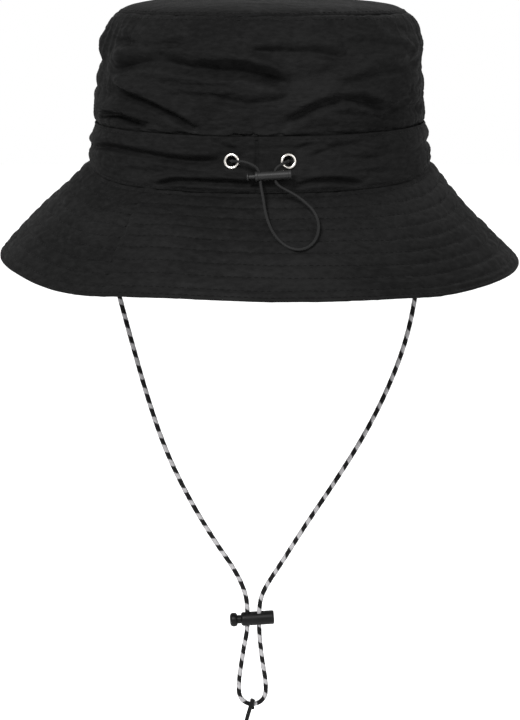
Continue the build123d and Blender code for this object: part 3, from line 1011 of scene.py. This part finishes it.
def toggle_spring(toggle):
    """The spring behind a toggle's plunger, and its two ends in metres."""
    centre, tilt, start, length, radius, wire, turns = SPRINGS[toggle]
    tilt = math.radians(tilt)
    along = np.array([math.cos(tilt), 0, math.sin(tilt)])
    up = np.array([-math.sin(tilt), 0, math.cos(tilt)])
    t = linspace(0, 1, int(40 * turns))[:, None]
    middle = np.array(centre) + along * (start + length * t)
    angle = TAU * turns * t
    line = middle + radius * (up * cos(angle) + np.array([0, 1, 0]) * sin(angle))
    return tube(f"{toggle}_coil", line, wire, 10), middle[0] * MM, middle[-1] * MM


# ---- thread
def all_stitches():
    """The thread of every seam that shows, one piece for each part of the hat."""
    round_hat = linspace(0, TAU, 1400)
    height = BAND_TOP - seam_height(round_hat)

    def seams(base, lift, places, sink=None):
        """Lines at places down a surface, or on its inner face, sink mm into it."""
        lines = [on_surface(base, lift, round_hat, place + 0 * round_hat) for place in places]
        return lines if sink is None else [(line - sink * n, -n) for line, n in lines]

    rows = {
        "thread_crown": seams(wall_cloth, wall_crinkle, [1.8])
        + seams(top_base, top_lift, [TOP_SPAN - 1.8]),
        "thread_band": seams(band_base, band_lift, [1.6 / height, 1 - 1.4 / height]),
        "thread_brim_upper": seams(brim_base, brim_top_lift, STITCH_ROWS),
        "thread_brim_under": seams(brim_base, brim_under_lift, STITCH_ROWS[:-1], 0.35),
        "thread_sweatband": seams(sweat_base, sweat_lift, [2.0 / SWEAT_HEIGHT, 0.95], 0.6),
    }
    return [stitches(name, lines) for name, lines in rows.items()]


# ---- materials
class Look:
    """A material being built: each call adds a node and gives its output."""

    def __init__(self, name, **constants):
        self.material = bpy.data.materials.new(name)
        self.material.use_nodes = True
        self.tree = self.material.node_tree
        self.shader = self.tree.nodes["Principled BSDF"]
        for key, value in constants.items():
            self.shader.inputs[key.replace("_", " ")].default_value = value

    def add(self, kind, inputs=(), output=0, **settings):
        made = self.tree.nodes.new("ShaderNode" + kind)
        for key, value in settings.items():
            setattr(made, key, value)
        for key, value in dict(inputs).items():
            if isinstance(value, bpy.types.NodeSocket):
                self.tree.links.new(value, made.inputs[key])
            else:
                made.inputs[key].default_value = value
        return made.outputs[output]

    def place(self):
        return self.add("TexCoord", output="Object")

    def attribute(self, name, output):
        return self.add("Attribute", output=output, attribute_name=name)

    def noise(self, vector, scale, detail, rough):
        mapped = self.add("Mapping", {"Vector": vector, "Scale": scale})
        inputs = {"Vector": mapped, "Scale": 1.0, "Detail": detail, "Roughness": rough}
        return self.add("TexNoise", inputs, "Fac")

    def maths(self, first, second, operation):
        return self.add("Math", {0: first, 1: second}, operation=operation)

    def remap(self, value, low, high, new_low=0, new_high=1):
        return self.add("MapRange", {0: value, 1: low, 2: high, 3: new_low, 4: new_high})

    def bump(self, height, strength, distance, below=None):
        inputs = {"Height": height, "Strength": strength, "Distance": distance}
        return self.add("Bump", inputs | ({"Normal": below} if below else {}))

    def mix(self, fac, first, second):
        return self.add("Mix", {0: fac, 6: first, 7: second}, 2, data_type="RGBA")

    def greys(self, fac, dark, light, tint=(1, 1, 1)):
        return self.mix(fac, *((*(level * part for part in tint), 1) for level in (dark, light)))

    def done(self, colour, rough, normal):
        for socket, value in (("Base Color", colour), ("Roughness", rough), ("Normal", normal)):
            self.tree.links.new(value, self.shader.inputs[socket])
        return self.material


def crinkled_nylon(name, level, across, down):
    """Black nylon: crinkles across and down the cloth, a fine plain weave, a low sheen."""
    look = Look(name, Specular_IOR_Level=0.01)
    cloth = look.attribute("weave", "Vector")
    streak = look.noise(cloth, (across, across, down), 5.0, 0.62)
    broad = look.noise(cloth, (across / 3, across / 3, down / 3.4), 4.0, 0.6)
    patch = look.noise(cloth, (14, 14, 30), 2.0, 0.5)
    inputs = {"Vector": cloth, "Scale": 720, "Distortion": 1.5, "Detail": 2, "Detail Scale": 3}
    threads = look.add("TexWave", inputs, "Fac", bands_direction="Z")
    # Painted shade in part: the tone is darker where the crinkle streaks are low in the bump, and it
    # also varies at random in patches.
    tone = look.remap(look.maths(streak, patch, "ADD"), 0.8, 1.25)
    relief = look.bump(streak, 0.5, 0.00028, look.bump(threads, 0.18, 0.00008))
    return look.done(
        look.greys(tone, 0.0030 * level, 0.0056 * level), look.remap(streak, 0.3, 0.7, 0.7, 0.55),
        look.bump(broad, 0.5, 0.0006, relief),
    )


def woven(name, dark, light, scale, rough, tint=(1, 1, 1), spec=0.25, on_cord=False, height=0.00012):
    """A plain woven or braided cloth: warp and weft ridges over a soft change of tone."""
    look = Look(name, Specular_IOR_Level=spec, Sheen_Weight=0.02, Sheen_Roughness=0.5)
    place = look.place() if on_cord else look.attribute("weave", "Vector")
    inputs = {"Vector": place, "Scale": scale, "Distortion": 0.8, "Detail": 1}
    warp, weft = (look.add("TexWave", inputs, "Fac", bands_direction=axis) for axis in "ZX")
    ridges = look.maths(warp, weft, "MULTIPLY")
    mottle = look.noise(place, (90, 90, 90), 4, 0.6)
    # Painted shade in part: the tone is darker between the warp and weft ridges, where the bump is low,
    # and it also varies at random with the mottle.
    fac = look.remap(look.maths(ridges, mottle, "MULTIPLY"), 0.0, 0.5)
    return look.done(
        look.greys(fac, dark, light, tint), look.remap(mottle, 0.3, 0.7, rough - 0.08, rough + 0.08),
        look.bump(ridges, 0.5, height),
    )


def braid():
    """Black and white yarn, with painted shade between its yarns: both colours are darker where the
    fibre noise sets the bump low.
    """
    look = Look("braid_two_tone", Specular_IOR_Level=0.06, Sheen_Weight=0.02)
    place = look.place()
    white = look.attribute("white", "Fac")
    fibre = look.noise(place, (2600, 2600, 900), 3, 0.6)
    # Painted shade: the white and the black are darker where the fibre bump is low.
    gap_shade = look.remap(fibre, 0.3, 0.7)
    light = look.greys(gap_shade, 0.15, 0.25, (1, 0.98, 1.0))
    return look.done(
        look.mix(white, look.greys(gap_shade, 0.002, 0.005), light),
        look.remap(fibre, 0.3, 0.7, 0.6, 0.8), look.bump(fibre, 0.4, 0.0001),
    )


def nickel(name, level, rough, tint):
    look = Look(name, Metallic=1.0)
    place = look.place()
    wear = look.noise(place, (900, 900, 900), 4, 0.6)
    scratch = look.noise(place, (300, 5000, 900), 2, 0.5)
    return look.done(
        look.greys(look.remap(wear, 0.35, 0.65), level * 0.88, level, tint),
        look.remap(wear, 0.3, 0.7, rough - 0.06, rough + 0.1), look.bump(scratch, 0.12, 0.00005),
    )


def moulded_plastic(name, dark, light, shine):
    look = Look(name, Specular_IOR_Level=shine)
    place = look.place()
    grain = look.noise(place, (1800, 1800, 1800), 3, 0.6)
    handling = look.noise(place, (160, 160, 160), 4, 0.6)
    return look.done(
        look.greys(look.remap(handling, 0.3, 0.7), dark, light),
        look.remap(handling, 0.3, 0.7, 0.34, 0.5), look.bump(grain, 0.15, 0.00004),
    )


# ---- the hat put together
camera()
studio()

nylon = crinkled_nylon("nylon_crown", 1.12, 230, 700)
# Painted light: the brim is the crown's nylon made lighter (level 1.22 against 1.12), for the light that
# falls on its upward face.
brim_nylon_painted_lighter = crinkled_nylon("nylon_brim_painted_lighter", 1.22, 260, 480)
lining_mat = woven("taffeta_lining", 0.005, 0.012, 520, 0.5)
tape_mat = woven("sweatband_twill", 0.005, 0.013, 330, 0.85, spec=0.12)
core_mat = woven("interlining_felt", 0.012, 0.03, 260, 0.9)
tab_mat = woven("grosgrain_tape", 0.008, 0.02, 420, 0.7)
label_mat = woven("label_satin", 0.62, 0.80, 900, 0.4, (1, 0.99, 0.97), 0.4)
elastic_mat = woven("drawcord_elastic", 0.006, 0.013, 700, 0.6, spec=0.05, on_cord=True, height=0.00006)
pull_mat = woven("pull_cord_black", 0.002, 0.006, 600, 0.6, spec=0.05, on_cord=True, height=0.00006)
thread_mat = woven("polyester_thread", 0.003, 0.0052, 1500, 0.6, spec=0.01, on_cord=True, height=0.00003)
braid_mat = braid()
eyelet_mat = nickel("nickel_plate", 0.5, 0.24, (1.0, 0.96, 0.9))
steel_mat = nickel("spring_wire", 0.6, 0.3, (1.0, 1.0, 1.0))
plastic_mats = {
    # Partly painted light: the rear toggle's plastic is lighter than the chin toggle's, partly its own
    # grey and partly for the light that falls on it.
    "rear_toggle": moulded_plastic("plastic_grey_painted_lighter", 0.006, 0.010, 0.14),
    "chin_toggle": moulded_plastic("plastic_black", 0.002, 0.004, 0.07),
}


def cover(obj, mat):
    obj.data.materials.clear()
    obj.data.materials.append(mat)


def piece(obj, mat, slot, *replaced):
    """A piece's material, and the CAD nodes that it takes the place of; slot is not used."""
    cover(obj, mat)
    if replaced:
        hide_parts(*replaced)
    return obj


def hat_piece(*said):
    obj = piece(*said)
    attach(obj, "hat")
    return obj


SHELL, LINING = "shell_cloth", "lining_cloth"
back = hat_piece(crown_wall("crown_back_wall", PI), nylon, SHELL, "crown_wall_rear")
front = hat_piece(crown_wall("crown_front_wall", 0), nylon, SHELL, "crown_wall_front")
roof = hat_piece(crown_top(), nylon, SHELL, "crown_top_panel")
ring = hat_piece(band(), nylon, SHELL, "band_shell")
upper = hat_piece(brim_upper(), brim_nylon_painted_lighter, SHELL, "brim_upper_cloth")
hat_piece(brim_core(), core_mat, "interlining", "brim_interlining")
under = hat_piece(brim_under(), brim_nylon_painted_lighter, SHELL, "brim_under_cloth")
lining_side, lining_roof = lining()
hat_piece(lining_side, lining_mat, LINING, "crown_lining_wall")
hat_piece(lining_roof, lining_mat, LINING, "crown_lining_top")
sweat_body, sweat_edge = sweatband()
hat_piece(sweat_body, tape_mat, "sweatband_tape", "sweatband")
hat_piece(sweat_edge, tab_mat, "tab_tape")
hat_piece(care_label(), label_mat, "label_satin", "care_label")
for word, side in (("left", -1), ("right", 1)):
    hat_piece(chin_tab(f"tab_{word}", side), tab_mat, "tab_tape", f"chin_tab_{word}")
    hat_piece(eyelet(f"rolled_eyelet_{word}", side), eyelet_mat, "eyelet_metal", f"eyelet_{word}")
    cover(nodes[f"eyelet_washer_{word}"], eyelet_mat)
for beads in all_stitches():
    hat_piece(beads, thread_mat, SHELL)

channel_backing, eyelet_backing = hidden_band_layers()
hat_piece(channel_backing, lining_mat, LINING, "band_channel_backing")
hat_piece(eyelet_backing, lining_mat, LINING, "eyelet_patch")
hat_piece(channel_cord(), elastic_mat, "drawcord_elastic", "rear_drawcord_channel_run")
for name in ("rear_toggle", "chin_toggle"):
    moulded = [nodes[f"{name}_barrel"], nodes[f"{name}_plunger"]]
    for part in moulded:
        cover(part, plastic_mats[name])
    coil, near, far = toggle_spring(name)
    piece(coil, steel_mat, "spring_steel", f"{name}_spring")
    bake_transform(coil)

# Chin cord: two strands to the toggle, a loop below it, and the pull on the loop.
for word, route, start, length in (
    ("left", CHIN_LEFT_ROUTE, -0.0808, 0.244), ("right", CHIN_RIGHT_ROUTE, 0.0808, 0.249),
):
    strand, line = chin_line(f"chin_strand_{word}", route)
    piece(strand, braid_mat, "chin_cord_braid", f"chin_cord_{word}_strand")
    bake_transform(strand)
pull = piece(chin_pull(), pull_mat, "pull_cord", "chin_cord_pull")
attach(pull, "chin_pull")
loop, line = chin_line("chin_loop", CHIN_LOOP_ROUTE)
piece(loop, braid_mat, "chin_cord_braid", "chin_cord_loop")
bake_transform(loop)

# Drawcord at the back: a strand from each eyelet to the toggle, and the loop below it.
# Each strand is two pieces: one where it leaves its eyelet, one from there to the toggle.
OUT_OF_EYELET = -100.6
strands = []
for word, route in (("left", DRAWCORD_LEFT_ROUTE), ("right", DRAWCORD_RIGHT_ROUTE)):
    line = nurbs_line(route, 0.16)
    cut = int(np.argmax(line[:, 1] < OUT_OF_EYELET))
    mouth = drawcord(f"drawcord_mouth_{word}", line[:cut + 1])
    strand = drawcord(f"drawcord_strand_{word}", line[cut:])
    piece(mouth, elastic_mat, "drawcord_elastic")
    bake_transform(mouth)
    piece(strand, elastic_mat, "drawcord_elastic", f"rear_drawcord_{word}_strand")
    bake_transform(strand)
    strands += [mouth, strand]
line = nurbs_line(DRAWCORD_LOOP_ROUTE, 0.16)
loop = piece(drawcord("drawcord_loop", line), elastic_mat, "drawcord_elastic", "rear_drawcord_loop")
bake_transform(loop)
